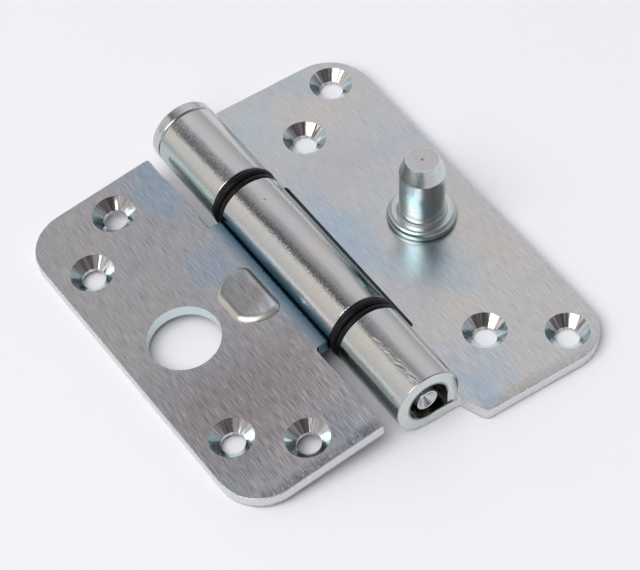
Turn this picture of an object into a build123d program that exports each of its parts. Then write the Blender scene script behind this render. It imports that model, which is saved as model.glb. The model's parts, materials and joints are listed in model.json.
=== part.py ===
from build123d import *
import os
from math import asin, atan2, cos, degrees, hypot, sin, sqrt

# Security hinge, lying open on a table. The barrel runs along Y, the longer frame leaf lies level on +X and the
# shorter door leaf leans down on -X until its outer edge touches the table. The proud flanges of the bushes rest on
# the table too. Millimetres, +Z up, and the origin is on the table under the middle of the hinge.

# Sheet and barrel
sheet = 3.0
barrel_radius = 7.65
barrel_length = 89.5
door_knuckle_length = 40.4
knuckle_gap = 3.5
edge_rounding = 0.3

# Leaves
half_width = 44.5
frame_leaf_length = 102.0
door_leaf_length = 89.0
outer_corner_radius = 10.0
frame_corner_radius = 2.0
door_corner_radius = 0.6
notch_radius = 0.7
closed_gap = 3.1
door_inner_edge = 10.75
window_edge = 11.2
shoulder_start = 7.9
shoulder_end = 10.3
bend_radius = 1.0
frame_seam_gap = 0.9
door_seam_gap = 0.3
tip_relief = 0.2

# Screw holes, in a wide-spaced and a close-spaced pair on each leaf
screw_hole_radius = 2.65
countersink_radius = 4.8
countersink_angle = 90
frame_inner_column = 22.7
frame_outer_column = 36.7
frame_inner_spacing = 66.8
frame_outer_spacing = 87.0
door_inner_column = 24.5
door_outer_column = 36.5
door_inner_spacing = 73.8
door_outer_spacing = 53.6

# Stud and the hole it enters when the hinge closes
stud_distance = 30.5
stud_hole_radius = 8.0
stud_radius = 5.0
stud_height = 18.0
stud_tip_radius = 3.7
stud_tip_length = 3.8
flange_radius = 7.5
flange_height = 2.2
flange_rounding = 1.2
root_groove = 0.3
tail_radius = 4.0
tail_head_radius = 5.2
tail_head_depth = 0.9
tail_clearance = 0.05

# Pressed boss of the door leaf
boss_near_edge = 10.1
boss_far_edge = 19.7
boss_arc_centre = 13.1
boss_arc_radius = 7.6
boss_height = 0.9
boss_rounding = 2.2
boss_corner_radius = 2.5
boss_wall = 1.2

# Pin
pin_radius = 4.0
pin_head_length = 3.2
pin_head_rounding = 1.1
pin_head_inner_rounding = 0.5
pin_head_gap = 0.12
pin_seat_length = 8.0
pin_seat_clearance = 0.03
pin_tip_recess = 0.4
pin_tip_radius = 2.45
pin_tip_length = 4.5
dimple_radius = 2.05
dimple_depth = 1.5

# Flanged bushes
bush_clearance = 0.05
sleeve_length = 9.0
wide_flange = 2.0
wide_flange_radius = 7.85
wide_flange_rounding = 0.9
thin_flange_radius = 7.7
thin_flange_rounding = 0.55
flange_play = 0.15

# Places that follow from the sizes above
bore_radius = barrel_radius - sheet
door_top = bore_radius - closed_gap
door_back = sheet - door_top
door_knuckle_end = door_knuckle_length / 2
frame_knuckle_start = door_knuckle_end + knuckle_gap
frame_knuckle_end = barrel_length / 2
rim_x = half_width - edge_rounding
rim_drop = door_back - edge_rounding
lean = asin((wide_flange_radius - edge_rounding) / hypot(rim_x, rim_drop)) - atan2(rim_drop, rim_x)
door_reach = rim_x * cos(lean) + (door_top - edge_rounding) * sin(lean) + edge_rounding
axis_offset = (door_reach - half_width) / 2
bend_centre_z = -door_back - bend_radius
bend_centre_x = -sqrt((barrel_radius + bend_radius) ** 2 - bend_centre_z**2)
bend_angle = degrees(atan2(-bend_centre_z, -bend_centre_x))
boss_spread = boss_rounding - sqrt(boss_height * (2 * boss_rounding - boss_height))
thin_flange = knuckle_gap - wide_flange - flange_play
sleeve_radius = bore_radius - bush_clearance

# How far off a face or edge may lie and still be the one looked for
tolerance = 0.01


def block(x_from, x_to, z_from, z_to):
    """Rectangle in an X-Z section."""
    size = Rectangle(x_to - x_from, z_to - z_from)
    return Pos((x_from + x_to) / 2, (z_from + z_to) / 2) * size


def along_barrel(section, y_from, y_to):
    """Solid with an X-Z section, from one place to another along the barrel."""
    return extrude(Plane.XZ.offset(-y_to) * section, amount=y_to - y_from)


def knuckle(section, y_from, y_to):
    """Rolled knuckle about the pin's axis, with the outer rims of its ends rounded."""
    barrel = along_barrel(Circle(barrel_radius), y_from, y_to)
    barrel = fillet(barrel.edges().filter_by(GeomType.CIRCLE), edge_rounding)
    return along_barrel(section, y_from, y_to) & barrel


def plate(points, z_from):
    """Flat sheet with its outline in plan."""
    outline = make_face(Polyline(*points, close=True))
    return Pos(0, 0, z_from) * extrude(outline, amount=sheet)


def round_corner(solid, x, y, radius):
    """Round the upright corner edges of a sheet that stand at x and at both plus and minus y."""
    upright = solid.edges().filter_by(Axis.Z)
    at_x = [e for e in upright if abs(e.center().X - x) < tolerance]
    corners = [e for e in at_x if abs(abs(e.center().Y) - y) < tolerance]
    return fillet(corners, radius)


def soften(solid, joint_x):
    """Round both rims of a sheet, except along the edge at joint_x, where the knuckle goes on."""
    flat = [solid.faces().sort_by(Axis.Z)[end] for end in (0, -1)]
    rims = [e for face in flat for e in face.edges() if abs(e.center().X - joint_x) > tolerance]
    return fillet(rims, edge_rounding)


def countersunk(solid, x, spacing, z):
    """Cut a pair of countersunk screw holes, at plus and minus half the spacing along the barrel."""
    for y in (-spacing / 2, spacing / 2):
        hole = CounterSinkHole(screw_hole_radius, countersink_radius, 2 * sheet, countersink_angle)
        solid -= Pos(x, y, z) * hole
    return solid


def turned(profile):
    """Body turned about the barrel's axis, from (radius, y) points."""
    face = make_face(Polyline(*profile, close=True))
    return revolve(face, Axis.Y)


# Frame leaf: the sheet runs straight into the knuckle's underside, and the roll ends over a slot above the sheet
roll = Circle(barrel_radius) - Circle(bore_radius)
frame_roll = roll - block(0, barrel_radius, -barrel_radius, frame_seam_gap - bore_radius)
frame_roll -= block(0, bore_radius + tip_relief, -bore_radius, 0)

half_frame = frame_leaf_length / 2
frame_points = [
    (0, frame_knuckle_end),
    (shoulder_start, frame_knuckle_end),
    (shoulder_end, half_frame),
    (half_width, half_frame),
    (half_width, -half_frame),
    (shoulder_end, -half_frame),
    (shoulder_start, -frame_knuckle_end),
    (0, -frame_knuckle_end),
    (0, -frame_knuckle_start),
    (window_edge, -frame_knuckle_start),
    (window_edge, frame_knuckle_start),
    (0, frame_knuckle_start),
]
frame_leaf = plate(frame_points, 0)
frame_leaf = round_corner(frame_leaf, half_width, half_frame, outer_corner_radius)
frame_leaf = round_corner(frame_leaf, shoulder_end, half_frame, frame_corner_radius)
frame_leaf = round_corner(frame_leaf, shoulder_start, frame_knuckle_end, notch_radius)
frame_leaf = round_corner(frame_leaf, window_edge, frame_knuckle_start, notch_radius)
frame_leaf = soften(frame_leaf, 0)
for y_from, y_to in ((frame_knuckle_start, frame_knuckle_end), (-frame_knuckle_end, -frame_knuckle_start)):
    frame_leaf += Pos(0, 0, barrel_radius) * knuckle(frame_roll, y_from, y_to)
frame_leaf = countersunk(frame_leaf, frame_inner_column, frame_inner_spacing, sheet)
frame_leaf = countersunk(frame_leaf, frame_outer_column, frame_outer_spacing, sheet)
tail_hole = Cylinder(tail_radius + tail_clearance, 4 * sheet)
tail_sink = Cone(tail_head_radius + tail_clearance, tail_radius + tail_clearance, tail_head_depth)
frame_leaf -= Pos(stud_distance, 0, 0) * tail_hole
frame_leaf -= Pos(stud_distance, 0, tail_head_depth / 2) * tail_sink

# Stud: flange on the sheet, cone-ended body, and a tail riveted flush into the back of the leaf
stud_profile = [
    (0, 0),
    (tail_head_radius, 0),
    (tail_radius, tail_head_depth),
    (tail_radius, sheet),
    (flange_radius, sheet),
    (flange_radius, sheet + flange_height),
    (stud_radius + 2 * root_groove, sheet + flange_height),
    (stud_radius, sheet + flange_height + root_groove),
    (stud_radius, sheet + stud_height - stud_tip_length),
    (stud_tip_radius, sheet + stud_height),
    (0, sheet + stud_height),
]
stud_face = Plane.XZ * make_face(Polyline(*stud_profile, close=True))
security_stud = revolve(stud_face, Axis.Z)
rim = [
    e
    for e in security_stud.edges().filter_by(GeomType.CIRCLE)
    if abs(e.radius - flange_radius) < tolerance and e.center().Z > sheet + flange_height / 2
]
security_stud = fillet(rim, flange_rounding)
security_stud = Pos(stud_distance, 0, 0) * security_stud

# Door leaf, first about the pin's axis and level: the sheet bends down into the roll, whose end comes back over it
bend_outer = bend_radius + sheet
bend_place = Pos(bend_centre_x, bend_centre_z)
over_sheet = Rot(0, 0, 90 + bend_angle) * block(0, 2 * barrel_radius, 0, 2 * barrel_radius)
door_roll = roll - (bend_place * Circle(bend_outer + door_seam_gap) & over_sheet)
quadrant = block(0, bend_outer, 0, bend_outer)
bend_section = (Circle(bend_outer) - Circle(bend_radius)) & quadrant & Rot(0, 0, bend_angle) * quadrant
bend = along_barrel(bend_place * bend_section, -door_knuckle_end, door_knuckle_end)
bend = fillet(bend.edges().filter_by(GeomType.CIRCLE), edge_rounding)

half_door = door_leaf_length / 2
door_points = [
    (-half_width, half_door),
    (-door_inner_edge, half_door),
    (-door_inner_edge, door_knuckle_end),
    (bend_centre_x, door_knuckle_end),
    (bend_centre_x, -door_knuckle_end),
    (-door_inner_edge, -door_knuckle_end),
    (-door_inner_edge, -half_door),
    (-half_width, -half_door),
]
door_leaf = plate(door_points, -door_back)
door_leaf = round_corner(door_leaf, -half_width, half_door, outer_corner_radius)
door_leaf = round_corner(door_leaf, -door_inner_edge, half_door, door_corner_radius)
door_leaf = round_corner(door_leaf, -door_inner_edge, door_knuckle_end, notch_radius)
door_leaf = soften(door_leaf, bend_centre_x)
door_leaf += bend
door_leaf += knuckle(door_roll, -door_knuckle_end, door_knuckle_end)
door_leaf = countersunk(door_leaf, -door_inner_column, door_inner_spacing, door_top)
door_leaf = countersunk(door_leaf, -door_outer_column, door_outer_spacing, door_top)
door_leaf -= Pos(-stud_distance, 0, 0) * Cylinder(stud_hole_radius, 4 * sheet)

# Pressed boss: a round cut off straight on two sides, raised as a soft cushion on the face and hollow at the back.
# Its rounding is deeper than its height, so the cushion starts in mid sheet, a little wider than it shows.
boss_strip = block(-boss_far_edge, -boss_near_edge, -barrel_radius * 2, barrel_radius * 2)
boss_outline = Pos(-boss_arc_centre, 0) * Circle(boss_arc_radius) & boss_strip
boss_outline = fillet(boss_outline.vertices(), boss_corner_radius)
boss_foot = Pos(0, 0, door_top - sheet / 2) * offset(boss_outline, boss_spread)
boss = extrude(boss_foot, amount=boss_height + sheet / 2)
boss = fillet(boss.faces().sort_by(Axis.Z)[-1].edges(), boss_rounding)
hollow = extrude(Pos(0, 0, -door_back) * offset(boss_outline, -boss_wall), amount=boss_height)
door_leaf = door_leaf + boss - hollow

# Pin: head, a seat that fits the far knuckle, the bearing length and the tapered tip with its centre hole
pin_profile = [
    (0, -frame_knuckle_end + pin_tip_recess + dimple_depth),
    (dimple_radius, -frame_knuckle_end + pin_tip_recess),
    (pin_tip_radius, -frame_knuckle_end + pin_tip_recess),
    (pin_radius, -frame_knuckle_end + pin_tip_recess + pin_tip_length),
    (pin_radius, frame_knuckle_end - pin_seat_length),
    (bore_radius - pin_seat_clearance, frame_knuckle_end - pin_seat_length),
    (bore_radius - pin_seat_clearance, frame_knuckle_end + pin_head_gap),
    (barrel_radius, frame_knuckle_end + pin_head_gap),
    (barrel_radius, frame_knuckle_end + pin_head_gap + pin_head_length),
    (0, frame_knuckle_end + pin_head_gap + pin_head_length),
]
hinge_pin = turned(pin_profile)
head_rims = [e for e in hinge_pin.edges().filter_by(GeomType.CIRCLE) if abs(e.radius - barrel_radius) < tolerance]
inner_rim, outer_rim = sorted(head_rims, key=lambda e: e.center().Y)
hinge_pin = fillet(inner_rim, pin_head_inner_rounding)
hinge_pin = fillet(hinge_pin.edges().sort_by(Axis.Y)[-1], pin_head_rounding)


def bush(seat, side, flange, rim_radius, rounding):
    """Bush with its flange on the knuckle face at y = seat and its sleeve in the knuckle, towards side."""
    hole = pin_radius + bush_clearance
    points = [
        (hole, seat - side * flange),
        (rim_radius, seat - side * flange),
        (rim_radius, seat),
        (sleeve_radius, seat),
        (sleeve_radius, seat + side * sleeve_length),
        (hole, seat + side * sleeve_length),
    ]
    body = turned(points)
    rims = [e for e in body.edges().filter_by(GeomType.CIRCLE) if abs(e.radius - rim_radius) < tolerance]
    return fillet(rims, rounding)


upper_frame_bush = bush(frame_knuckle_start, 1, wide_flange, wide_flange_radius, wide_flange_rounding)
upper_door_bush = bush(door_knuckle_end, -1, thin_flange, thin_flange_radius, thin_flange_rounding)
lower_door_bush = bush(-door_knuckle_end, 1, wide_flange, wide_flange_radius, wide_flange_rounding)
lower_frame_bush = bush(-frame_knuckle_start, -1, thin_flange, thin_flange_radius, thin_flange_rounding)

# Each piece in its place on the table
on_table = Pos(axis_offset, 0, wide_flange_radius - barrel_radius)
on_axis = Pos(axis_offset, 0, wide_flange_radius)
on_door = on_axis * Rot(0, -degrees(lean), 0)
nodes = {
    "frame_leaf": on_table * frame_leaf,
    "security_stud": on_table * security_stud,
    "hinge_pin": on_axis * hinge_pin,
    "upper_frame_bush": on_axis * upper_frame_bush,
    "lower_frame_bush": on_axis * lower_frame_bush,
    "door_leaf": on_door * door_leaf,
    "upper_door_bush": on_door * upper_door_bush,
    "lower_door_bush": on_door * lower_door_bush,
}

os.makedirs("parts", exist_ok=True)
for name, solid in nodes.items():
    export_step(solid, f"parts/{name}.step")

print(f"pin axis at x {axis_offset:.4f}, z {wide_flange_radius:.4f}, door leaf leans {degrees(lean):.4f} degrees")
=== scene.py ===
# %% [markdown]
# # A security hinge in bright zinc
#
# The hinge lies open on a pale table: two leaves of 3 mm sheet, rolled into knuckles about one pin, four
# black flanged bushes between the knuckles, and a stud that locks into the other leaf's hole when the door
# is shut. The packed model already has every shape, down to the countersinks, the rolled seam and the pin's
# centre hole. What this script gives it is its finish, and the light and the table that show it.

# %% Load the packed model
import json
from math import asin, degrees, pi

import bpy
from mathutils import Matrix, Vector


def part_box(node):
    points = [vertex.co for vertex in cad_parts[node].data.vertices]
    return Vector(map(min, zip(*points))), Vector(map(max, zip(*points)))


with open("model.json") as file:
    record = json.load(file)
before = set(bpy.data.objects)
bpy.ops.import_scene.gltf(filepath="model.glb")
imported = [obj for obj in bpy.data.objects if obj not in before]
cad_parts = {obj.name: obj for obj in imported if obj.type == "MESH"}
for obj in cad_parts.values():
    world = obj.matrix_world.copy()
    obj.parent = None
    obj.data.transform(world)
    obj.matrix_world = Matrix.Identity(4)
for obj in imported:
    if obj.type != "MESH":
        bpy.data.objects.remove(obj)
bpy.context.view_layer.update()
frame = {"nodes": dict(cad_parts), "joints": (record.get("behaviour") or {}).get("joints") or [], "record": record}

# %% [markdown]
# ## Places to hang the finishes on
#
# A finish follows the piece it is on: grain runs along a leaf, scuffs run round a knuckle, and tool marks
# ring a screw hole. Each of those needs a place and a direction. They are read from the packed record, so
# that a pattern can't drift away from the shape it belongs to. Millimetres are easier to think in than
# metres, so the finishes use them.

# %% Read the places
MM = 0.001
mounts = {mount["name"]: mount for mount in frame["record"]["mounts"]}
axis = Vector(frame["joints"][0]["pos_m"])
lean = asin(mounts["door_leaf_back"]["axis"][0])
level = Matrix.Identity(3)
door_turn = Matrix.Rotation(-lean, 3, "Y")


def in_leaf(point, turn):
    """A point of the record in a leaf's own millimetres: x away from the pin, z above the pin's axis."""
    return turn.inverted() @ (Vector(point) - axis) / MM


def hole_places(leaf, turn):
    """Distance from the pin and along the barrel of a leaf's two pairs of screw holes."""
    places = []
    for pair in ("inner", "outer"):
        mount = mounts[f"{leaf}_{pair}_screws"]
        spacing = mount["dims"].get("spacing_y_mm") or mount["dims"]["pcd_mm"]
        places.append((in_leaf(mount["pos_m"], turn).x, spacing / 2))
    return places


frame_holes = hole_places("frame", level)
door_holes = hole_places("door", door_turn)
stud_place = in_leaf(mounts["security_stud"]["pos_m"], level)
big_hole = in_leaf(mounts["stud_hole"]["pos_m"], door_turn)
print("door leaf leans", round(degrees(lean), 2), "degrees")
print("screw holes:", frame_holes, door_holes)
print("stud at x", round(stud_place.x, 2), "and its hole at x", round(big_hole.x, 2))

# %% [markdown]
# ## The camera
#
# A product photograph is taken from far off with a long lens, so that the edges of the plates stay nearly
# parallel. The place and the tilt were worked out once by fitting the plates' edges and the holes, and are
# written here as the camera's own directions.

# %% Set up the camera
focal_length = 183.16
sensor_width = 36.0
camera_place = Vector((-0.239546, -0.372957, 0.531972))
camera_right = Vector((0.82411562, -0.56606461, -0.02010731))
camera_up = Vector((0.44540861, 0.62570892, 0.64039012))
camera_back = camera_right.cross(camera_up)

camera_data = bpy.data.cameras.new("studio_camera")
camera_data.lens = focal_length
camera_data.sensor_width = sensor_width
camera_data.clip_start = 0.01
camera_data.clip_end = 20.0
camera = bpy.data.objects.new("studio_camera", camera_data)
turned = Matrix((camera_right, camera_up, camera_back)).transposed()
camera.matrix_world = Matrix.Translation(camera_place) @ turned.to_4x4()
bpy.context.scene.collection.objects.link(camera)
bpy.context.scene.camera = camera
bpy.context.scene.view_settings.view_transform = "Standard"
print("camera is", round(camera_place.length, 3), "m from the hinge")

# %% [markdown]
# ## Sums on sockets
#
# A shader is a network of small sums, and a hundred Math nodes placed by hand can't be read again. This
# small class wraps one socket, so that a sum can be written as a sum. Its one method makes any other node,
# settings first.

# %% The socket class


class Flow:
    """One socket of a node tree, on which sums can be written."""

    def __init__(self, tree, socket=None):
        self.tree = tree
        self.socket = socket

    def node(self, kind, settings=None, values=None, output=0):
        """Make a node: first its settings, a ramp's stops among them, then its sockets' values or links."""
        made = self.tree.nodes.new(kind)
        for name, setting in (settings or {}).items():
            if name == "stops":
                self.set_stops(made.color_ramp, setting)
            else:
                setattr(made, name, setting)
        for key, value in (values or {}).items():
            if isinstance(value, Flow):
                self.tree.links.new(value.socket, made.inputs[key])
            else:
                made.inputs[key].default_value = value
        return Flow(self.tree, made.outputs[output]) if len(made.outputs) else None

    @staticmethod
    def set_stops(ramp, stops):
        while len(ramp.elements) < len(stops):
            ramp.elements.new(1.0)
        for element, (place, colour) in zip(ramp.elements, stops):
            element.position = place
            element.color = (*colour, 1.0)

    def math(self, operation, *others):
        return self.node("ShaderNodeMath", {"operation": operation}, dict(enumerate((self, *others))))

    def __add__(self, other):
        return self.math("ADD", other)

    __radd__ = __add__

    def __mul__(self, other):
        return self.math("MULTIPLY", other)

    __rmul__ = __mul__

    def __sub__(self, other):
        return self.math("SUBTRACT", other)

    def __rsub__(self, other):
        return self.math("MULTIPLY", -1.0) + other

    def __truediv__(self, other):
        return self.math("DIVIDE", other)

    def __pow__(self, other):
        return self.math("POWER", other)

    def __abs__(self):
        return self.math("ABSOLUTE")


sums = [name.strip("_") for name in vars(Flow) if name.startswith("__") and callable(getattr(Flow, name))]
print("sums that a socket knows:", ", ".join(sums[1:]))

# %% [markdown]
# A finish is laid on in layers, like paint through a stencil. The stencil is a mask, a value from 0 to 1
# that is made from a place, a distance or an angle, and each layer is blended in by its mask. Masks that
# multiply keep only what they share.

# %% Helpers for masks and colours


def step_between(value, low, high):
    """0 below low and 1 above high, with a soft step between; the other way round when low is above high."""
    values = {"Value": value, "From Min": low, "From Max": high}
    return value.node("ShaderNodeMapRange", {"interpolation_type": "SMOOTHSTEP"}, values)


def between(value, rising, falling):
    """A mask for a band: it comes up over the first pair of values and goes down again over the second."""
    return step_between(value, *rising) * step_between(value, *falling)


def all_of(*masks):
    """A mask that is 1 only where every one of the masks is."""
    joined = masks[0]
    for mask in masks[1:]:
        joined = joined * mask
    return joined


def split(place):
    """The three parts of a vector, each as a plain value."""
    return [place.node("ShaderNodeSeparateXYZ", values={0: place}, output=side) for side in range(3)]


def dot(first, second):
    return first.node("ShaderNodeVectorMath", {"operation": "DOT_PRODUCT"}, {0: first, 1: second}, output=1)


def distance(across, along):
    """Distance from a point or a line, from two parts at right angles."""
    return (across ** 2.0 + along ** 2.0) ** 0.5


def pad(colour):
    """A plain colour with the fourth number that a colour socket asks for."""
    return colour if isinstance(colour, Flow) else (*colour, 1.0)


def blend_colours(share, first, second):
    """The first colour where share is 0 and the second where it is 1."""
    start = next(part for part in (share, first, second) if isinstance(part, Flow))
    values = {0: share, 6: pad(first), 7: pad(second)}
    return start.node("ShaderNodeMix", {"data_type": "RGBA"}, values, output=2)


def tint(colour, factor):
    """A colour multiplied by a plain value, as a vector, because a Math node would turn it grey."""
    start = colour if isinstance(colour, Flow) else factor
    return start.node("ShaderNodeVectorMath", {"operation": "SCALE"}, {0: colour, "Scale": factor})


print("helpers ready for masks and colours")

# %% [markdown]
# ## The table and the light
#
# Small shiny parts are photographed in a light tent: white cloth all round, with a big lamp shining through
# it from the upper left. The table in it is a plain pale sheet. It is made far wider than the camera sees,
# so that the metal mirrors no edge of it.

# %% Lay the table
table_side = 8.0
table_colour = (0.86, 0.86, 0.90)
bpy.ops.object.select_all(action="DESELECT")
bpy.ops.mesh.primitive_plane_add(size=table_side, location=(0.0, 0.0, 0.0))
table = bpy.context.object
table.name = "table_top"
table_material = bpy.data.materials.new("pale_table")
table_material.use_nodes = True
table_shader = table_material.node_tree.nodes["Principled BSDF"]
table_shader.inputs["Base Color"].default_value = (*table_colour, 1.0)
table_shader.inputs["Roughness"].default_value = 0.7
table_shader.inputs["Specular IOR Level"].default_value = 0.1
table.data.materials.append(table_material)
print("table is", table_side, "m wide, in colour", table_colour)

# %% [markdown]
# Metal shows little of its own and mostly mirrors the tent, so the tent is where the looks begin. The world
# stands for its cloth. Panels of real cloth round the hinge would do as well, but a world can't get in the
# camera's way. Its brightness follows the angle from left to right, because the barrel mirrors it as bands
# along its length: one of them is the dark line of the tent's seam. Each row below is a place, from the
# left horizon at 0 over the top at 0.5 to the right horizon at 1, and the cloth's brightness there.

# %% Cut the cloth
cloth_behind = [
    (0.00, (0.60, 0.60, 0.59)),
    (0.14, (0.71, 0.70, 0.68)),
    (0.31, (0.78, 0.77, 0.745)),
    (0.345, (0.25, 0.25, 0.255)),
    (0.395, (0.165, 0.165, 0.175)),
    (0.435, (0.29, 0.29, 0.31)),
    (0.48, (0.38, 0.38, 0.405)),
    (0.52, (0.44, 0.44, 0.47)),
    (0.56, (0.54, 0.54, 0.57)),
    (0.62, (0.76, 0.76, 0.78)),
    (0.76, (0.80, 0.80, 0.82)),
    (0.88, (0.64, 0.65, 0.68)),
    (1.00, (0.50, 0.51, 0.54)),
]
cloth_in_front = [
    (0.00, (0.60, 0.60, 0.60)),
    (0.30, (0.50, 0.50, 0.50)),
    (0.42, (0.22, 0.22, 0.23)),
    (0.60, (0.13, 0.12, 0.125)),
    (0.72, (0.20, 0.19, 0.20)),
    (0.85, (0.42, 0.43, 0.45)),
    (1.00, (0.52, 0.53, 0.56)),
]
front_meets_behind = (-0.1, 0.3)
print("bands of cloth:", len(cloth_behind), "behind and", len(cloth_in_front), "in front")

# %% [markdown]
# Two things break the cloth. One is the opening that the lens looks through, which the countersinks mirror
# as a dark spot. The other is the glow where the lamp shines through. The real lamp could be left to mirror
# itself, but its square image would fill a flat leaf seen from above and bleach it, so the metal mirrors
# this round, softer glow instead. The glow fades out lower down, where it would light up the table's own
# sheen.

# %% Hang the tent
lens_direction = Vector((-0.45, -0.72, 0.52)).normalized()
lens_edge = (0.935, 0.957)
lens_colour = (0.10, 0.085, 0.09)
glow_direction = Vector((-0.68, -0.15, 0.70)).normalized()
glow_edge = (0.89, 0.94)
glow_ends_below = (0.50, 0.60)
glow_colour = (3.20, 3.18, 3.15)
cloth_seen_by_camera = (0.88, 0.88, 0.92)

world = bpy.data.worlds.new("light_tent")
bpy.context.scene.world = world
world.use_nodes = True
world.node_tree.nodes.clear()
sky = Flow(world.node_tree)
look = sky.node("ShaderNodeTexCoord", output=0)
look_right, look_behind, look_up = split(look)
sweep = look_right.math("ARCTAN2", look_up) / pi + 0.5
behind = sweep.node("ShaderNodeValToRGB", {"stops": cloth_behind}, {"Fac": sweep})
in_front = sweep.node("ShaderNodeValToRGB", {"stops": cloth_in_front}, {"Fac": sweep})
cloth = blend_colours(step_between(look_behind, *front_meets_behind), in_front, behind)
lens = step_between(dot(look, tuple(lens_direction)), *lens_edge)
cloth = blend_colours(lens, cloth, lens_colour)
lit = step_between(dot(look, tuple(glow_direction)), *glow_edge) * step_between(look_up, *glow_ends_below)
cloth = blend_colours(lit, cloth, glow_colour)
seen = cloth.node("ShaderNodeLightPath", output="Is Camera Ray")
cloth = blend_colours(seen, cloth, cloth_seen_by_camera)
shining = cloth.node("ShaderNodeBackground", values={"Color": cloth, "Strength": 1.0})
shining.node("ShaderNodeOutputWorld", values={"Surface": shining})
print("the tent is built from", len(world.node_tree.nodes), "nodes")

# %% [markdown]
# The lamp gives the soft shadow on the table and most of the light on the black bushes. Its power follows
# from its side, so that it can be made wider or narrower and still light the hinge as brightly.

# %% Switch on the lamp
lamp_side = 1.5
lamp_distance = 1.6
lamp_brightness = 1.90
lamp_direction = Vector((-0.50, -0.12, 0.86)).normalized()

lamp_data = bpy.data.lights.new("soft_lamp", "AREA")
lamp_data.shape = "SQUARE"
lamp_data.size = lamp_side
lamp_data.energy = lamp_brightness * pi * lamp_side**2
lamp = bpy.data.objects.new("soft_lamp", lamp_data)
lamp_turn = lamp_direction.to_track_quat("Z", "Y").to_matrix()
lamp.matrix_world = Matrix.Translation(lamp_direction * lamp_distance) @ lamp_turn.to_4x4()
# The metal mirrors the glow in the cloth in the lamp's place
lamp.visible_glossy = False
bpy.context.scene.collection.objects.link(lamp)
print("lamp power", round(lamp_data.energy, 2), "W")

# %% [markdown]
# ## Bright zinc
#
# The leaves are sheared and rolled from sheet, linished along the barrel, and then dipped in bright zinc
# with a clear passivation. Three things make that finish: the fine streaks that the belt left, the soft
# clouds of blue, straw and pink that the passivation leaves, and a mirror that isn't quite sharp. All three
# could be one picture wrapped round the leaf, but it would smear at the bends and show its own light. They
# are made from noise instead, which fills the whole solid and fits any bend.

# %% Colours of the zinc
ZINC = (0.65, 0.652, 0.655)
BLUE = (0.49, 0.60, 0.70)
STRAW = (0.72, 0.665, 0.60)
PINK = (0.66, 0.60, 0.60)
TEAL = (0.17, 0.29, 0.37)
WHITE = (0.90, 0.92, 0.93)
DARK = (0.10, 0.11, 0.12)
print("plain zinc mirrors", round(sum(ZINC) / len(ZINC), 3), "of the light")

# %% [markdown]
# Each piece gets one material that holds its whole finish, and the material measures the piece in its own
# millimetres. A Mapping node does the measuring: set to texture, it gives each point's place from a centre,
# with a leaf's lean turned away.

# %% Start and end a material


def new_material(name):
    """An empty material and its node tree."""
    material = bpy.data.materials.new(name)
    material.use_nodes = True
    material.node_tree.nodes.clear()
    return material, Flow(material.node_tree)


def own_place(start, centre, turn_y=0.0):
    """The object's own place in millimetres from a centre, turned about Y."""
    rest = start.node("ShaderNodeTexCoord", output="Object")
    values = {"Vector": rest, "Location": centre, "Rotation": (0.0, turn_y, 0.0), "Scale": (MM, MM, MM)}
    return rest.node("ShaderNodeMapping", {"vector_type": "TEXTURE"}, values)


def facing(place):
    """The way that the object's surface points."""
    return place.node("ShaderNodeTexCoord", output="Normal")


def finish(start, material, colour, rough, normal, metallic=1.0, specular=0.5):
    """Join colour, roughness and a normal into the material's surface."""
    values = {"Base Color": colour, "Roughness": rough, "Metallic": metallic}
    values.update({"Specular IOR Level": specular, "Normal": normal})
    surface = start.node("ShaderNodeBsdfPrincipled", values=values)
    surface.node("ShaderNodeOutputMaterial", values={"Surface": surface})
    return material


def dress(node, material):
    """Give a packed node its material: the slots stay, and each gets the new one."""
    slots = frame["nodes"][node].material_slots
    for slot in slots:
        slot.material = material
    print(node, "wears", material.name, "in", len(slots), "slot")


print("one unit in a material is", MM, "m")

# %% [markdown]
# Belts, rolls and baths leave no two marks alike, so the marks come from noise. Drawn out in one direction
# it becomes streaks, and a step cuts scratches or specks out of it. A streak also tips the surface it lies
# on. A bump map could do that, but it reads the slope from one pixel to the next, and these marks are
# finer, so the normal itself is tipped.

# %% Helpers for noise and marks


def vector(x, y, z):
    start = next(part for part in (x, y, z) if isinstance(part, Flow))
    return start.node("ShaderNodeCombineXYZ", values={"X": x, "Y": y, "Z": z})


def noise(place, scale=1.0, detail=2.0, rough=0.5, seed=0.0):
    """Cloudy noise from 0 to 1. The seed slides the pattern, so that two uses of it differ."""
    settings = {"noise_dimensions": "4D"}
    values = {"Vector": place, "W": seed, "Scale": scale, "Detail": detail, "Roughness": rough}
    return place.node("ShaderNodeTexNoise", settings, values)


def streaks(across, along, per_mm, detail, rough, seed):
    """Noise drawn out in one direction. per_mm is how many marks fit in a millimetre, across and along."""
    return noise(vector(across * per_mm[0], along * per_mm[1], 0.0), detail=detail, rough=rough, seed=seed)


def tipped(start, spindle, across, along):
    """The surface's normal, tipped by fine marks: across goes round the spindle, along follows it."""
    normal = start.node("ShaderNodeNewGeometry", output="Normal")
    side = start.node("ShaderNodeVectorMath", {"operation": "CROSS_PRODUCT"}, {0: spindle, 1: normal})
    shifted = start.node("ShaderNodeVectorMath", {"operation": "ADD"}, {0: normal, 1: tint(side, across)})
    upright = start.node("ShaderNodeVectorMath", {"operation": "SCALE"}, {0: spindle, "Scale": along})
    shifted = start.node("ShaderNodeVectorMath", {"operation": "ADD"}, {0: shifted, 1: upright})
    return start.node("ShaderNodeVectorMath", {"operation": "NORMALIZE"}, {0: shifted})


def patch(x, y, centre, size):
    """A soft oval mask about a point of the leaf."""
    return step_between(distance((x - centre[0]) / size[0], (y - centre[1]) / size[1]), 1.0, 0.15)


print("helpers ready for noise and marks")

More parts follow.
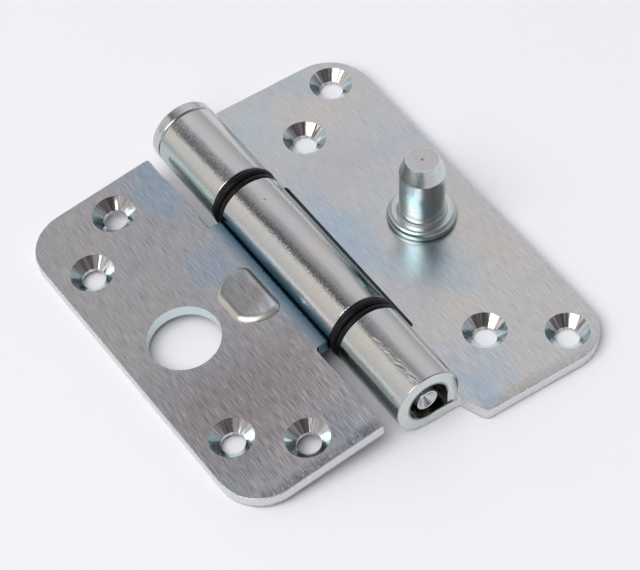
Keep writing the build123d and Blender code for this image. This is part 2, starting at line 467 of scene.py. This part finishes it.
# %% [markdown]
# ### The linished plate
#
# The belt's grain does more than colour: it tips the surface from side to side, so that each streak mirrors
# a slightly different part of the tent. Fine streaks give the sheen, broad ones a slow change across the
# leaf, and a few lone scratches and specks catch the light. The belt bit deeper toward the near end, so
# grain is a pair of strengths, for the far end and the near end. Over that lie clouds of colour. Two soft
# noises spread blue and straw everywhere, and patches in listed places, with edges that waver by the same
# noises, put the strongest clouds where the bath left them.

# %% Grain and clouds
FINE_STREAKS = (5.4, 0.26)
BROAD_STREAKS = (0.8, 0.05)
LONE_SCRATCHES = (3.6, 0.12)
BITE_GROWS = (15.0, -35.0)
PATCH_WAVERS = (14.0, 20.0)


def plate_look(x, y, place, slope, base, patches, grain):
    """Colour, roughness and tip of the linished plate. slope turns the grain off the barrel's line."""
    along = y + x * slope
    aside = x - y * slope
    fine = streaks(aside, along, FINE_STREAKS, detail=2.0, rough=0.6, seed=1.0)
    broad = streaks(aside, along, BROAD_STREAKS, detail=2.0, rough=0.5, seed=2.0)
    lone = step_between(streaks(aside, along, LONE_SCRATCHES, detail=1.0, rough=0.5, seed=3.0), 0.66, 0.74)
    speck = step_between(noise(place, 1.9, 1.0, 0.5, seed=16.0), 0.70, 0.76)
    blue_cloud = noise(place, 0.055, 3.0, 0.55, seed=4.0)
    straw_cloud = noise(place, 0.085, 2.0, 0.5, seed=5.0)

    colour = blend_colours(step_between(blue_cloud, 0.42, 0.72) * 0.7, base, BLUE)
    colour = blend_colours(step_between(straw_cloud, 0.48, 0.75) * 0.6, colour, STRAW)
    wavering_x = x + (straw_cloud - 0.5) * PATCH_WAVERS[0]
    wavering_y = y + (blue_cloud - 0.5) * PATCH_WAVERS[1]
    for centre, size, shade, strength in patches:
        colour = blend_colours(patch(wavering_x, wavering_y, centre, size) * strength, colour, shade)

    far_grain, near_grain = grain
    bite = step_between(y, *BITE_GROWS) * (near_grain - far_grain) + far_grain
    streak = step_between(fine, 0.30, 0.70) - 0.5
    colour = tint(colour, streak * bite * 0.70 + (broad - 0.5) * bite * 0.14 + 1.0)
    # Painted highlights: the lone scratches and specks are real marks, painted near white where they catch the
    # light
    colour = blend_colours(lone * bite * 0.35, colour, WHITE)
    colour = blend_colours(speck * bite * 0.5, colour, WHITE)
    rough = 0.26 + broad * 0.08
    tip = ((fine - 0.5) * 0.24 + (broad - 0.5) * 0.05) * bite
    return colour, rough, tip


print("fine streaks are about", round(1 / FINE_STREAKS[0], 2), "by", round(1 / FINE_STREAKS[1], 1), "mm")

# %% [markdown]
# ### The rolled knuckles
#
# The roll polished the knuckles brighter than the plates, and rubbed one side of them. There the edge of
# the dark band that the barrel mirrors is made ragged with painted light: dark specks of painted reflection
# on one side of it, and short bright dashes of painted highlight round the barrel on the other, most of them
# near the knuckles' ends. Places on the barrel are given by two measures: turn, the way round from the top,
# and y, the way along, both in millimetres.

# %% Marks of the roll
BARREL_RADIUS = 7.65
BUSH_FLANGES_Y = 22.0
KNUCKLE_ENDS_Y = (40.0, 43.0)
DASH_BAND = ((-4.4, -3.4), (-2.2, -3.0))
SPECK_BAND = ((-3.6, -2.5), (-0.3, -1.6))
SLANT_STOPS_Y = -12.0
SCRAPE_STARTS = 28.0
NICK_TURN = 0.94
NICK_Y = 14.35


def painted_band_edge(turn, y, slanting_y, scuff, mottle):
    """Masks for the painted highlights, bright dashes, and the painted reflection, dark specks, at the band's
    ragged edge.
    """
    beside_bush = step_between(abs(abs(y) - BUSH_FLANGES_Y), 6.5, 2.5)
    ends = (beside_bush + step_between(abs(y), *KNUCKLE_ENDS_Y)) * 0.5 + 0.3
    drift = turn + slanting_y * 0.022
    dashes = all_of(between(drift, *DASH_BAND), step_between(scuff, 0.50, 0.60), ends)
    specks = all_of(between(drift, *SPECK_BAND), step_between(mottle, 0.42, 0.58))
    return dashes, specks * (0.30 + step_between(y, -26.0, -20.0) * 0.25)


def scrape_mark(turn, y):
    """Mask for the scrape that widens toward the open end of the near knuckle."""
    below = y * -1.0 - SCRAPE_STARTS
    lane = abs(turn + 2.8 - below * 0.030) / (below * 0.060 + 0.40)
    scratches = noise(vector(turn * 3.4 + y * 0.9, y * 0.30, 0.0), detail=3.0, rough=0.8, seed=18.0)
    scratched = step_between(scratches, 0.42, 0.60)
    return all_of(step_between(lane, 1.0, 0.4), step_between(below, 0.0, 2.0), scratched)


def knuckle_look(x, y, z):
    """Colour, roughness and tip of a rolled knuckle."""
    turn = x.math("ARCTAN2", z) * BARREL_RADIUS
    mill = streaks(turn, y, (1.9, 0.12), detail=3.0, rough=0.65, seed=6.0)
    scuff = streaks(turn, y, (0.34, 3.6), detail=3.0, rough=0.7, seed=7.0)
    mottle = streaks(turn, y, (2.6, 1.7), detail=3.0, rough=0.75, seed=8.0)
    soft = streaks(turn, y, (0.12, 0.10), detail=2.0, rough=0.5, seed=17.0)
    worn = step_between(turn, 0.5, -2.5)
    # The roll pressed a trace harder at one end, which slants the band that the barrel mirrors
    slanting_y = y.math("MAXIMUM", SLANT_STOPS_Y)

    colour = blend_colours(step_between(soft, 0.40, 0.70) * 0.6, ZINC, STRAW)
    colour = tint(colour, 0.78 + mill * 0.12 + (scuff * 0.20 + mottle * 0.16) * (0.35 + worn * 0.65))
    # Painted reflection and highlight: dark specks and bright dashes break up the edge of the mirrored dark band
    dashes, specks = painted_band_edge(turn, y, slanting_y, scuff, mottle)
    colour = blend_colours(specks, colour, DARK)
    colour = blend_colours(dashes, colour, WHITE)
    scrape = scrape_mark(turn, y)
    colour = blend_colours(scrape * 0.8, colour, WHITE)
    nick = step_between(distance(turn - NICK_TURN, y - NICK_Y), 0.35, 0.15)
    colour = blend_colours(nick * 0.6, colour, DARK)

    rough = 0.10 + soft * 0.08 + scuff * 0.06 + scrape * 0.32 + dashes * 0.30
    marks = ((mottle - 0.5) * 0.22 + (scuff - 0.5) * 0.26) * (0.25 + worn * 0.75)
    tip = marks + (soft - 0.5) * 0.08 + slanting_y * 0.0035
    return colour, rough, tip


print("the barrel is", round(2 * pi * BARREL_RADIUS, 1), "mm round")

# %% [markdown]
# ### The screw holes
#
# A countersink's wall is freshly turned and steep, so it mirrors quite another part of the tent than the
# plate round it. The tool chattered, which left stripes that run down the wall, so their noise changes
# quickly with the angle round the hole and slowly with the distance from its middle. The walls' colours are
# a painted reflection: the walls on the far side are painted brown and white and the others blue. The holes
# lie in pairs at equal distances from the middle of the leaf, so y is folded there and each pair is made once.

# %% Countersinks
COUNTERSINK_EDGE = (4.95, 4.75)
FAR_SIDE = (0.58, 0.81)


def total(masks):
    return sum(masks[1:], masks[0])


def hole_marks(x, y, up, holes):
    """Where the countersinks are, the chatter that the tool left, and their far walls."""
    fold = abs(y)
    side = y.math("SIGN")
    insides, chatters, walls = [], [], []
    for hole_x, hole_y in holes:
        away_x, away_y = x - hole_x, fold - hole_y
        reach = distance(away_x, away_y)
        angle = away_x.math("ARCTAN2", away_y)
        inside = step_between(reach, *COUNTERSINK_EDGE)
        stripes = vector(angle * 5.0, reach * 0.12, side * 3.0 + hole_x)
        toward_far = (away_x * FAR_SIDE[0] + away_y * side * FAR_SIDE[1]) / reach
        insides.append(inside)
        chatters.append(noise(stripes, detail=2.0, rough=0.6, seed=10.0) * inside)
        walls.append(step_between(toward_far, 0.15, 0.65) * inside)
    return total(insides) * step_between(up, 0.97, 0.85), total(chatters), total(walls)


def countersink_look(spot, holes, colour, rough, tip):
    """Colour, roughness and tip with the countersinks laid over them."""
    sink, chatter, far = hole_marks(spot.x, spot.y, spot.up, holes)
    # Painted reflection: blue near walls and brown and white far walls, striped by the chatter
    near_wall = blend_colours(chatter, (0.34, 0.55, 0.61), (0.72, 0.84, 0.86))
    far_wall = blend_colours(step_between(chatter, 0.3, 0.7), (0.37, 0.335, 0.33), (0.82, 0.80, 0.79))
    colour = blend_colours(sink, colour, blend_colours(far, near_wall, far_wall))
    rough = rough + (0.15 - rough) * sink
    tip = tip + ((chatter - 0.5) * (0.22 + far * 0.90) - tip) * sink
    return colour, rough, tip


print("countersinks are dressed out to", COUNTERSINK_EDGE[0], "mm from their middles")

# %% [markdown]
# ### Where a point of a leaf is
#
# The marks on a leaf keep to their own places: streaks to the flat, scuffs to the knuckles, a burr to the
# cut edges. Painting a mask by hand would need a picture and an unwrapped mesh. Here each mask comes from
# three things that the shader knows at every point: how far it is from the pin, how high it is over the
# leaf's back, and which way the surface faces.

# %% Zones of a leaf
SHEET = 3.0
KNUCKLE_EDGE = (8.2, 7.85)
BORE_EDGE = (5.2, 4.9)


class Spot:
    """A point of a leaf: its place in millimetres from the pin, the way it faces, and masks for its zone."""

    def __init__(self, start, node, back_mount, turn, turn_y):
        self.place = own_place(start, axis, turn_y)
        self.x, self.y, self.z = split(self.place)
        self.out = abs(self.x)
        self.back = in_leaf(mounts[back_mount]["pos_m"], turn).z
        self.end_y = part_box(node)[1].y / MM
        self.from_pin = distance(self.x, self.z)
        normal = facing(self.place)
        self.up = dot(normal, tuple(-Vector(mounts[back_mount]["axis"])))
        level_face = abs(self.up)
        self.knuckle = step_between(self.from_pin, *KNUCKLE_EDGE)
        self.plate = 1.0 - self.knuckle
        # No higher than the sheet, so not on the pressed boss
        self.flush = self.over_back(SHEET + 0.06, SHEET + 0.01)
        # The rounding between a face and an edge, and then the upright face of the edge
        rounding = between(level_face, (0.985, 0.93), (0.15, 0.4))
        self.rim = all_of(rounding, self.plate, self.flush)
        self.cut = all_of(step_between(level_face, 0.75, 0.35), self.plate, self.flush)
        # The flat end of a knuckle, and the bore inside it
        self.butt = step_between(abs(split(normal)[1]), 0.8, 0.95) * self.knuckle
        self.bore = step_between(self.from_pin, *BORE_EDGE)
        self.brush = noise(vector(self.x * 1.6, self.y * 1.6, self.z * 4.0), detail=3.0, rough=0.7, seed=9.0)
        print(node, "has its back at", round(self.back, 2), "mm and ends at", round(self.end_y, 1), "mm")

    def over_back(self, low, high):
        """A step in the height over the leaf's back."""
        return step_between(self.z, self.back + low, self.back + high)


print("the flat of a leaf is", SHEET, "mm thick")

# %% [markdown]
# ### The edges
#
# Shears drag the surface down with them, so the near end of each leaf has a dull speckled strip, then a
# ragged bright rim, then a plain cut face with a dark burr at its foot. The edges of the window that the
# middle knuckle turns in see nothing but the barrel, and are painted nearly black as painted shade. The
# punch that cut the knuckles' ends left them dull and mottled, and their bores are painted dark as painted
# shade.

# %% Cut edges and ends
WINDOW_EDGE_X = (11.9, 11.5)
WINDOW_EDGE_Y = (24.5, 24.0)
SHEAR_DRAG = (3.4, 0.6)


def edge_look(spot, grain, rim_dark, rim_rough, colour, rough, tip):
    """Colour, roughness and tip with the cut edges and the ends of the knuckles laid over them."""
    mottling = noise(spot.place, 1.4, 3.0, 0.7, seed=18.0)
    colour = blend_colours(spot.butt, colour, tint((0.64, 0.69, 0.67), 0.80 + mottling * 0.40))
    # Painted shade: the bore inside the knuckle painted dark
    colour = blend_colours(spot.bore * 0.8, colour, (0.13, 0.17, 0.12))

    near_end = step_between(spot.y * -1.0, spot.end_y - SHEAR_DRAG[0], spot.end_y - SHEAR_DRAG[1])
    drag = all_of(near_end, step_between(spot.brush, 0.34, 0.54), spot.plate)
    colour = blend_colours(drag * grain[1] * 0.55, colour, DARK)
    ragged = step_between(spot.brush, 0.35, 0.65)
    colour = blend_colours(spot.rim, colour, tint(WHITE, rim_dark + ragged * 0.46))
    colour = blend_colours(spot.cut, colour, tint(ZINC, 0.60 + spot.brush * 1.04))
    burr = all_of(spot.cut, spot.over_back(0.9, 0.4), step_between(spot.brush, 0.4, 0.6))
    colour = blend_colours(burr * 0.5, colour, DARK)
    # Painted shade: the window's edges painted nearly black
    in_window = step_between(spot.out, *WINDOW_EDGE_X) * step_between(abs(spot.y), *WINDOW_EDGE_Y)
    window = all_of(in_window, step_between(spot.up, 0.97, 0.90), spot.plate, spot.flush)
    colour = blend_colours(window * 0.85, colour, (0.08, 0.13, 0.14))

    rough = rough + (0.40 - rough) * spot.cut
    rough = rough + (rim_rough - rough) * spot.rim
    return colour, rough, tip * (1.0 - spot.cut)


print("the window's edges are darkened out to", WINDOW_EDGE_X[0], "mm from the pin")

# %% [markdown]
# ### A whole leaf
#
# A leaf's finish is put together from the outside in: the linished plate with its clouds, then the rolled
# knuckles, the cut edges, the countersinks, and last the few marks that only one of the leaves has.

# %% Finish of a leaf
BARREL = (0.0, 1.0, 0.0)


def zinc_leaf(name, spot_facts, holes, plate_facts, rim, last_marks):
    """The finish of a whole leaf. rim is how dark and how rough its rim is at most."""
    material, start = new_material(name)
    spot = Spot(start, *spot_facts)
    colour, rough, tip = plate_look(spot.x, spot.y, spot.place, **plate_facts)
    barrel_colour, barrel_rough, barrel_tip = knuckle_look(spot.x, spot.y, spot.z)
    colour = blend_colours(spot.knuckle, colour, barrel_colour)
    rough = rough + (barrel_rough - rough) * spot.knuckle
    tip = tip + (barrel_tip - tip) * spot.knuckle
    colour, rough, tip = edge_look(spot, plate_facts["grain"], *rim, colour, rough, tip)
    colour, rough, tip = countersink_look(spot, holes, colour, rough, tip)
    colour, rough = last_marks(spot, colour, rough)
    print(name, "is built from", len(material.node_tree.nodes), "nodes")
    return finish(start, material, colour, rough, tipped(start, BARREL, tip, tip * 0.25))


print("grain runs along", BARREL)

# %% [markdown]
# ### The frame leaf
#
# This is the leaf that lies flat. It carries the stud, and a thin dark ring of painted shade lies round the
# stud's foot, where its flange meets the leaf. Its knuckles are painted greener low down, on the side that
# faces the other leaf, as a painted reflection of the shaded table. Each patch is a place, a size, a colour
# and a strength.

# %% Dress the frame leaf
STUD_RING = (8.0, 7.5)


def frame_marks(spot, colour, rough):
    """Painted shade in a thin dark ring round the stud's foot, and a painted reflection on the knuckles' low side.
    """
    # Painted shade: a thin dark ring on the leaf round the stud's flange
    ring = step_between(distance(spot.x - stud_place.x, spot.y), *STUD_RING)
    foot = ring * spot.over_back(SHEET - 0.1, SHEET - 0.02)
    colour = blend_colours(foot * 0.55, colour, (0.16, 0.24, 0.27))
    # Painted reflection: the knuckles' low side, toward the other leaf, tinted dark green for the shaded table
    # that it mirrors
    low = all_of(step_between(spot.x, -5.9, -7.0), spot.knuckle, 1.0 - spot.butt)
    colour = blend_colours(low * 0.7, colour, (0.38, 0.49, 0.46))
    return colour, rough


frame_patches = [
    ((14.5, 4.0), (7.0, 26.0), BLUE, 0.75),
    ((16.0, 42.0), (8.0, 12.0), (0.61, 0.67, 0.71), 0.8),
    ((30.0, 40.0), (16.0, 12.0), STRAW, 0.6),
    ((24.0, 22.0), (14.0, 10.0), PINK, 0.45),
    ((24.0, -9.0), (9.0, 8.0), (0.42, 0.56, 0.62), 0.6),
    ((14.0, -44.0), (5.0, 12.0), BLUE, 0.8),
    ((24.0, -14.0), (9.0, 12.0), BLUE, 0.5),
    ((38.0, -10.0), (14.0, 36.0), (0.675, 0.635, 0.60), 0.85),
    ((34.0, -40.0), (14.0, 12.0), (0.665, 0.635, 0.605), 0.7),
    ((20.0, -28.0), (10.0, 8.0), STRAW, 0.5),
    ((22.0, -49.5), (4.0, 3.0), (0.72, 0.60, 0.50), 0.7),
]
frame_spot = ("frame_leaf", "frame_leaf_back", level, 0.0)
frame_plate = {"slope": -0.02, "base": ZINC, "patches": frame_patches, "grain": (0.30, 0.42)}
frame_rim = (0.70, 0.72)
frame_zinc = zinc_leaf("zinc_frame_leaf", frame_spot, frame_holes, frame_plate, frame_rim, frame_marks)
dress("frame_leaf", frame_zinc)

# %% [markdown]
# ### The door leaf
#
# This leaf leans, and its knuckle closes on itself at a narrow seam. Beside the seam, on the plate and on
# the low side of the knuckle, a deep blue-green is painted as shade and reflection of the barrel's dark
# underside, and the gap itself is painted black and a little ragged as painted shade. Under the barrel's
# side it would be hidden, so it is kept to the strip beside the seam and to the low side of the knuckle.

# %% Painted shade in the seam
SEAM_SHADE_X = (12.4, 9.4)
MIDDLE_KNUCKLE_Y = (20.6, 20.0)


def painted_seam_shade(spot, boss, colour):
    """Painted shade and reflection: blue-green beside the seam and low on the knuckle, dark beside the slot, and a
    black gap between them.
    """
    # Painted shade and reflection: the strip beside the seam, tinted deep blue-green
    beside = step_between(spot.out + spot.brush * 1.4, *SEAM_SHADE_X) * step_between(abs(spot.y), 23.0, 20.0)
    tinge = all_of(beside, step_between(spot.from_pin, 7.7, 7.9), 1.0 - boss)
    deep = step_between(spot.out + spot.brush * 0.8, 10.2, 8.4)
    colour = blend_colours(tinge * 0.9, colour, blend_colours(deep, (0.25, 0.38, 0.47), (0.08, 0.20, 0.28)))

    barrel = step_between(abs(spot.y), *MIDDLE_KNUCKLE_Y) * step_between(spot.from_pin, 8.0, 7.8)
    # Painted reflection and shade: the knuckle's low side tinted dark teal
    low = step_between(spot.x, -5.6, -7.0) * barrel
    low_colour = blend_colours(step_between(spot.out, 6.4, 7.4), TEAL, (0.06, 0.17, 0.23))
    colour = blend_colours(low * 0.95, colour, low_colour)
    # Painted dark reflection: the knuckle beside the slot is darkened where it would mirror the stud's bright
    # flange
    beside_slot = step_between(spot.x - spot.y * 0.10, 4.8, 6.6) * barrel
    colour = blend_colours(beside_slot * 0.85, colour, (0.11, 0.18, 0.17))

    # Painted shade: the seam's gap painted black
    ragged = spot.from_pin + (spot.brush - 0.5) * 1.1
    in_gap = step_between(ragged, 8.45, 8.05) * step_between(spot.from_pin, 7.62, 7.72)
    gap = all_of(in_gap, step_between(spot.out, 6.2, 6.8))
    return blend_colours(gap * 0.9, colour, (0.012, 0.03, 0.04))


print("the film reaches", SEAM_SHADE_X[0], "mm from the pin")

# %% [markdown]
# The boss was pressed up out of the sheet, and the press left its rim straw-coloured. Its top is painted
# darker as painted shade and its near side painted bright as a painted highlight, the shading of a dome. It
# is found by its height, since nothing else on the flat stands over the sheet. The wall of the stud's hole
# is pale blue, and is found by its distance from the hole's middle.

# %% Dress the door leaf
BOSS_X = (9.6, 9.9)
BOSS_TO_PIN = 14.6
HOLE_WALL = (8.8, 8.4)
DOOR_BASE = (0.645, 0.625, 0.62)


def door_marks(spot, colour, rough):
    """The pale wall of the stud's hole, the boss with its painted shade and highlight, and the painted shade in
    the seam.
    """
    wall = spot.cut * step_between(distance(spot.x - big_hole.x, spot.y), *HOLE_WALL)
    colour = blend_colours(wall, colour, blend_colours(spot.brush, (0.60, 0.76, 0.78), (0.84, 0.89, 0.89)))
    boss = spot.over_back(SHEET + 0.03, SHEET + 0.3) * step_between(spot.out, *BOSS_X)
    crown = spot.over_back(SHEET + 0.45, SHEET + 0.85) * boss
    colour = blend_colours(boss * (1.0 - crown) * 0.7, colour, STRAW)
    # Painted shade on the boss's top and a painted highlight on its near side
    near_highlight = step_between(spot.y + spot.brush * 1.5 + (spot.x + BOSS_TO_PIN) * -0.35, -1.0, -7.0)
    colour = tint(colour, 1.0 - crown * 0.24 + boss * near_highlight * 0.60)
    rough = rough + (0.34 - rough) * boss
    return painted_seam_shade(spot, boss, colour), rough


door_patches = [
    ((-14.0, 38.0), (9.0, 14.0), (0.50, 0.615, 0.72), 0.85),
    ((-17.0, 10.0), (9.0, 11.0), (0.52, 0.605, 0.70), 0.9),
    ((-13.0, -12.0), (4.0, 8.0), BLUE, 0.5),
    ((-41.0, -34.0), (10.0, 12.0), (0.46, 0.515, 0.57), 0.5),
    ((-29.0, -21.0), (31.0, 26.0), (0.50, 0.455, 0.45), 1.0),
    ((-39.0, 28.0), (16.0, 30.0), (0.68, 0.65, 0.635), 0.85),
    ((-16.0, -40.0), (10.0, 8.0), (0.48, 0.51, 0.57), 0.7),
]
door_spot = ("door_leaf", "door_leaf_back", door_turn, -lean)
door_plate = {"slope": 0.04, "base": DOOR_BASE, "patches": door_patches, "grain": (0.55, 0.95)}
door_rim = (0.54, 0.50)
door_zinc = zinc_leaf("zinc_door_leaf", door_spot, door_holes, door_plate, door_rim, door_marks)
dress("door_leaf", door_zinc)

# %% [markdown]
# ## Turned pieces
#
# The stud and the pin come off a lathe, and the tool leaves fine rings round their own axes. The stud
# stands up and the pin lies along the barrel, so one function makes both finishes, from the distance to the
# axis and the place along it. The middle of an end face keeps the dark pip that the tool couldn't reach,
# and its outer lip gets a painted highlight.

# %% Lathe finish
PIP_RADIUS = 0.9
LIP = (3.35, 3.6)


def turned_zinc(name, centre, lengthwise, tinge, foot=None, cone_calm=0.0):
    """Rings round an axis through centre: lengthwise is 1 for one that lies along Y and 2 for upright."""
    material, start = new_material(name)
    place = own_place(start, centre)
    sides = split(place)
    along = sides[lengthwise]
    first, other = [part for side, part in enumerate(sides) if side != lengthwise]
    reach = distance(first, other)
    angle = first.math("ARCTAN2", other)
    endward = abs(split(facing(place))[lengthwise])
    end_face = step_between(endward, 0.93, 0.98)
    cone = all_of(step_between(endward, 0.15, 0.35), 1.0 - end_face, cone_calm)
    rings = noise(vector(reach * 3.0, along * 3.0, angle * 0.35), detail=3.0, rough=0.65, seed=11.0)
    fine = noise(vector(reach * 7.0, along * 7.0, angle * 1.6), detail=2.0, rough=0.6, seed=12.0)
    cloud = noise(place, 0.30, 3.0, 0.6, seed=13.0)

    colour = blend_colours(step_between(cloud, 0.35, 0.60), ZINC, tinge)
    colour = blend_colours(end_face, colour, (0.66, 0.645, 0.64))
    colour = tint(colour, 0.60 + rings * 0.52 + fine * 0.20)
    pip = all_of(step_between(reach + rings * 0.6, PIP_RADIUS, 0.5), end_face)
    colour = blend_colours(pip * 0.6, colour, DARK)
    # Painted highlight: a broken bright ring on the end face's outer lip
    lip = all_of(step_between(reach, *LIP), step_between(fine, 0.42, 0.58), end_face)
    colour = blend_colours(lip * 0.6, colour, WHITE)
    if foot is not None:
        # Painted shade: a dark line low on the flange, where it stands on the leaf
        joint = step_between(along, foot + 0.5, foot + 0.15)
        colour = blend_colours(joint * 0.8, colour, (0.10, 0.16, 0.18))

    rough = 0.13 + rings * 0.12 + end_face * 0.12 + cone * 0.10
    spindle = tuple(1.0 if side == lengthwise else 0.0 for side in range(3))
    tip = ((rings - 0.5) * 0.20 + (fine - 0.5) * 0.10) * (1.0 - cone * 0.75)
    sway = (cloud - 0.5) * 0.30
    return finish(start, material, colour, rough, tipped(start, spindle, sway, tip))


print("the pip is", 2 * PIP_RADIUS, "mm across at most")

# %% [markdown]
# The bath left the stud a blue-green film and the pin a greyer one. The stud's cone was turned more evenly
# than its body, so its rings are calmer there. Where its flange sits on the leaf, the joint is painted as a
# dark line of painted shade, and its height is measured from the leaf.

# %% Dress the stud and the pin
stud_centre = Vector(mounts["security_stud"]["pos_m"])
plate_top = (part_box("frame_leaf")[0].z + SHEET * MM - stud_centre.z) / MM
stud_film = (0.60, 0.74, 0.74)
pin_film = (0.60, 0.62, 0.64)
dress("security_stud", turned_zinc("zinc_stud", stud_centre, 2, stud_film, foot=plate_top, cone_calm=1.0))
dress("hinge_pin", turned_zinc("zinc_pin", axis, 1, pin_film))

# %% [markdown]
# ## Black bushes
#
# The bushes are moulded from a filled black plastic: satin, with a trace of the mould's grain and a little
# paler where the flanges rub. The grain is a bump of a few thousandths of a millimetre, too shallow to be
# worth modelling.

# %% Bush plastic
MOULD_GRAIN = 0.006


def bush_plastic():
    material, start = new_material("black_bush")
    place = own_place(start, axis)
    mould = noise(place, 2.6, 2.0, 0.5, seed=14.0)
    rub = noise(place, 0.42, 3.0, 0.6, seed=15.0)
    colour = blend_colours(step_between(rub, 0.45, 0.8), (0.003, 0.003, 0.004), (0.012, 0.012, 0.014))
    values = {"Height": mould, "Strength": 1.0, "Distance": MOULD_GRAIN * MM}
    grained = start.node("ShaderNodeBump", values=values)
    return finish(start, material, colour, 0.30 + rub * 0.16, grained, metallic=0.0, specular=0.2)


bush_material = bush_plastic()
for bush in ("upper_frame_bush", "upper_door_bush", "lower_door_bush", "lower_frame_bush"):
    dress(bush, bush_material)

# %% [markdown]
# ## Sizes
#
# The finish adds nothing to the outside, so the box of what is shown must be the box of the packed model.
